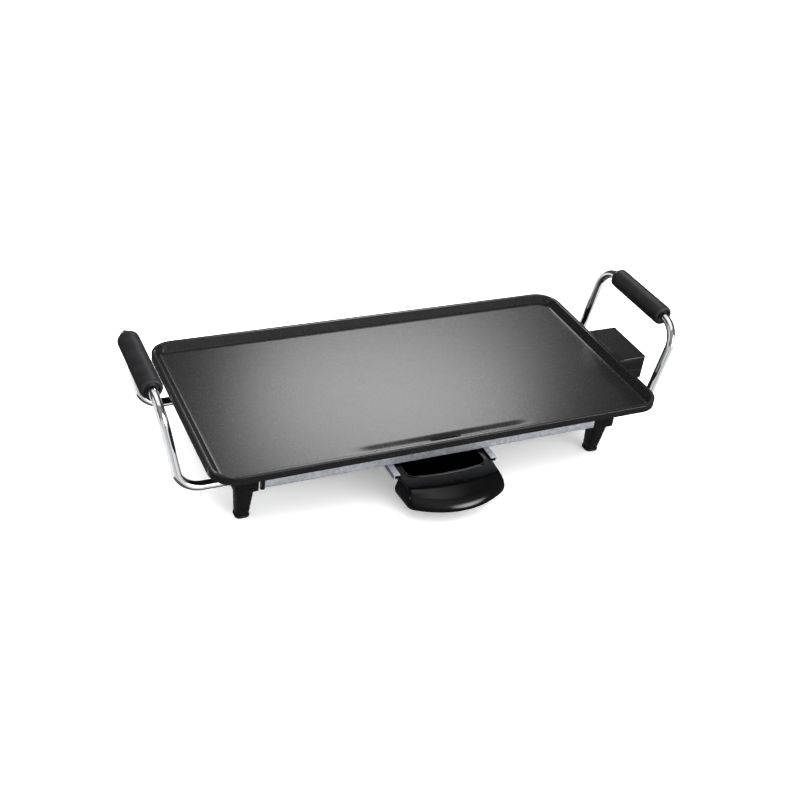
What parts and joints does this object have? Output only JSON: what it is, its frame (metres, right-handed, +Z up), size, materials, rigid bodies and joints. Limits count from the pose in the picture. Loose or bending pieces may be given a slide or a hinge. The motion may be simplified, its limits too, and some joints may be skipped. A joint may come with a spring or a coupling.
{
  "type": "electric griddle",
  "caption": "Table-top electric griddle with a rimmed rectangular plate, rod handles at both ends and a drip tray that slides out at the front.",
  "frame": {"origin": "on the table, below the middle of the object's overall box; the plate's centre is 15 mm behind it", "axes": "+Z up, +X to the right towards the thermostat socket, -Y to the front where the drip tray pulls out"},
  "size_m": [0.561, 0.265, 0.1465],
  "materials": {
    "nonstick_casting": "die-cast aluminium with a dark grey speckled non-stick coating, satin",
    "element_sheath": "drawn stainless sheath, dull",
    "nickel_pin": "nickel-plated, polished",
    "steatite": null,
    "galvanised_sheet": "galvanised steel sheet, fine grain",
    "zinc_screw": "bright zinc plate",
    "black_phenolic": "black heat-proof moulding, satin gloss",
    "black_rubber": "matt black",
    "chromed_rod": "polished chrome plate on steel rod",
    "grip_sleeve": "matt black sleeve",
    "socket_plastic": "dark grey heat-proof moulding, fine texture",
    "brass_leaf": "spring brass, plain",
    "tray_black": "gloss black moulding"
  },
  "bodies": {
    "griddle": {"griddle_plate": "nonstick_casting", "heating_element": "element_sheath", "contact_pins": "nickel_pin", "pin_bushings": "steatite", "probe_sleeve": "element_sheath", "base_pan": "galvanised_sheet", "base_pan_screws": "zinc_screw", "edge_clips": "black_phenolic", "foot_front_left": "black_phenolic", "foot_front_right": "black_phenolic", "foot_back_left": "black_phenolic", "foot_back_right": "black_phenolic", "pad_front_left": "black_rubber", "pad_front_right": "black_rubber", "pad_back_left": "black_rubber", "pad_back_right": "black_rubber", "foot_screws": "zinc_screw", "handle_rod_left": "chromed_rod", "handle_rod_right": "chromed_rod", "grip_left": "grip_sleeve", "grip_right": "grip_sleeve", "socket_lower_shell": "socket_plastic", "socket_upper_shell": "socket_plastic", "socket_lid": "socket_plastic", "socket_screws": "zinc_screw", "shell_screws": "zinc_screw", "earth_contact": "brass_leaf", "tray_rail_left": "galvanised_sheet", "tray_rail_right": "galvanised_sheet", "rail_rivets": "zinc_screw"},
    "tray": {"drip_tray": "tray_black", "tray_handle": "tray_black", "tray_screws": "zinc_screw"}
  },
  "joints": [
    {"name": "tray_slide", "type": "slide", "parent": "griddle", "child": "tray", "axis": [0, -1, 0], "range_m": [0, 0.149]}
  ]
}
